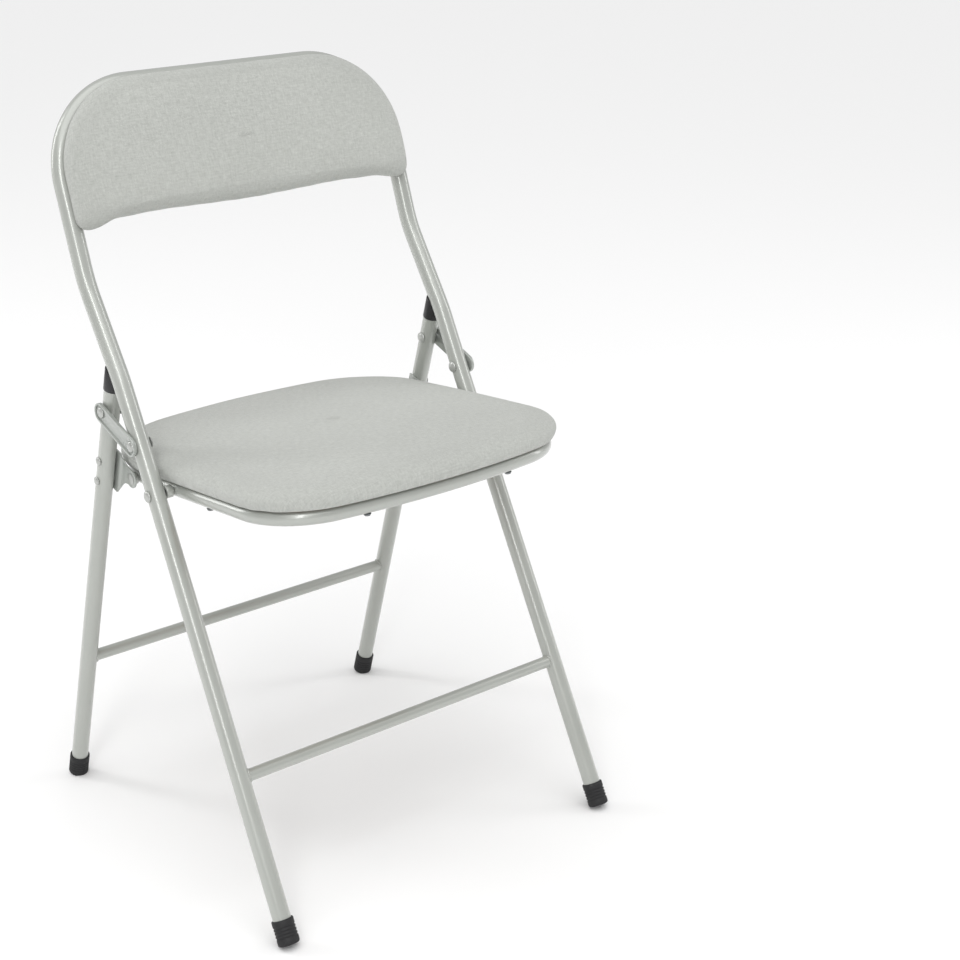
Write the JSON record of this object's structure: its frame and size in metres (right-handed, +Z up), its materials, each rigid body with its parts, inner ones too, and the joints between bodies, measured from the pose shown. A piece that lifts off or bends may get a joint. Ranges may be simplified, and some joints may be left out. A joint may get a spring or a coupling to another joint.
{
  "type": "folding chair",
  "caption": "Folding chair of bent steel tube with a fabric-covered padded seat and back, flat link plates, plastic leg bumpers and rubber feet.",
  "frame": {"origin": "on the floor under the middle of the chair's bounding box", "axes": "+Z up; the chair faces -Y; +X is the sitter's left side"},
  "size_m": [0.4402, 0.464, 0.8024],
  "materials": {
    "paint": "satin powder coat, light grey with a green tinge",
    "plate": "satin powder coat on pressed sheet",
    "rivet": "coated rivet heads, worn a little at the crown",
    "screw": "zinc plated",
    "fabric": "light grey heathered plain weave over foam",
    "board": "raw hardboard",
    "rubber": "black, ribbed",
    "bumper": "black"
  },
  "bodies": {
    "front_frame": {"back_board": "board", "back_pad": "fabric", "back_screw_1_left": "screw", "back_screw_1_right": "screw", "back_screw_2_left": "screw", "back_screw_2_right": "screw", "back_tab_1_left": "paint", "back_tab_1_right": "paint", "back_tab_2_left": "paint", "back_tab_2_right": "paint", "front_crossbar": "paint", "front_foot_left": "rubber", "front_foot_right": "rubber", "front_frame_tube": "paint", "link_pivot_pin_left": "rivet", "link_pivot_pin_right": "rivet", "seat_pivot_spacer_left": "paint", "seat_pivot_spacer_right": "paint"},
    "seat": {"gusset_pivot_pin_left": "rivet", "gusset_pivot_pin_right": "rivet", "seat_board": "board", "seat_cushion": "fabric", "seat_pivot_pin_left": "rivet", "seat_pivot_pin_right": "rivet", "seat_ring": "paint", "seat_screw_1_left": "screw", "seat_screw_1_right": "screw", "seat_screw_2_left": "screw", "seat_screw_2_right": "screw"},
    "rear_legs": {"gusset_left": "plate", "gusset_pivot_spacer_left": "rivet", "gusset_pivot_spacer_right": "rivet", "gusset_right": "plate", "gusset_rivet_1_left": "rivet", "gusset_rivet_1_right": "rivet", "gusset_rivet_2_left": "rivet", "gusset_rivet_2_right": "rivet", "leg_pivot_pin_left": "rivet", "leg_pivot_pin_right": "rivet", "rear_bumper_left": "bumper", "rear_bumper_right": "bumper", "rear_crossbar": "paint", "rear_foot_left": "rubber", "rear_foot_right": "rubber", "rear_leg_left": "paint", "rear_leg_right": "paint"},
    "link_left": {"link_end_rivet_left": "rivet", "link_plate_left": "plate"},
    "link_right": {"link_end_rivet_right": "rivet", "link_plate_right": "plate"}
  },
  "joints": [
    {"name": "seat_fold", "type": "hinge", "parent": "front_frame", "child": "seat", "pos_m": [0, -0.0056, 0.416], "axis": [-1, 0, 0], "range_deg": [0, 114]},
    {"name": "rear_leg_fold", "type": "hinge", "parent": "seat", "child": "rear_legs", "pos_m": [0, 0.06591, 0.40861], "axis": [-1, 0, 0], "range_deg": [-72, 0]},
    {"name": "link_left_swing", "type": "hinge", "parent": "front_frame", "child": "link_left", "pos_m": [0.204, 0.01881, 0.4625], "axis": [-1, 0, 0], "range_deg": [0, 112]},
    {"name": "link_right_swing", "type": "hinge", "parent": "front_frame", "child": "link_right", "pos_m": [-0.204, 0.01881, 0.4625], "axis": [-1, 0, 0], "range_deg": [0, 112]}
  ],
  "couplings": [
    {"joint": "rear_leg_fold", "follows": "seat_fold", "ratio": -0.62319},
    {"joint": "link_left_swing", "follows": "seat_fold", "ratio": 0.98171},
    {"joint": "link_right_swing", "follows": "seat_fold", "ratio": 0.98171}
  ]
}
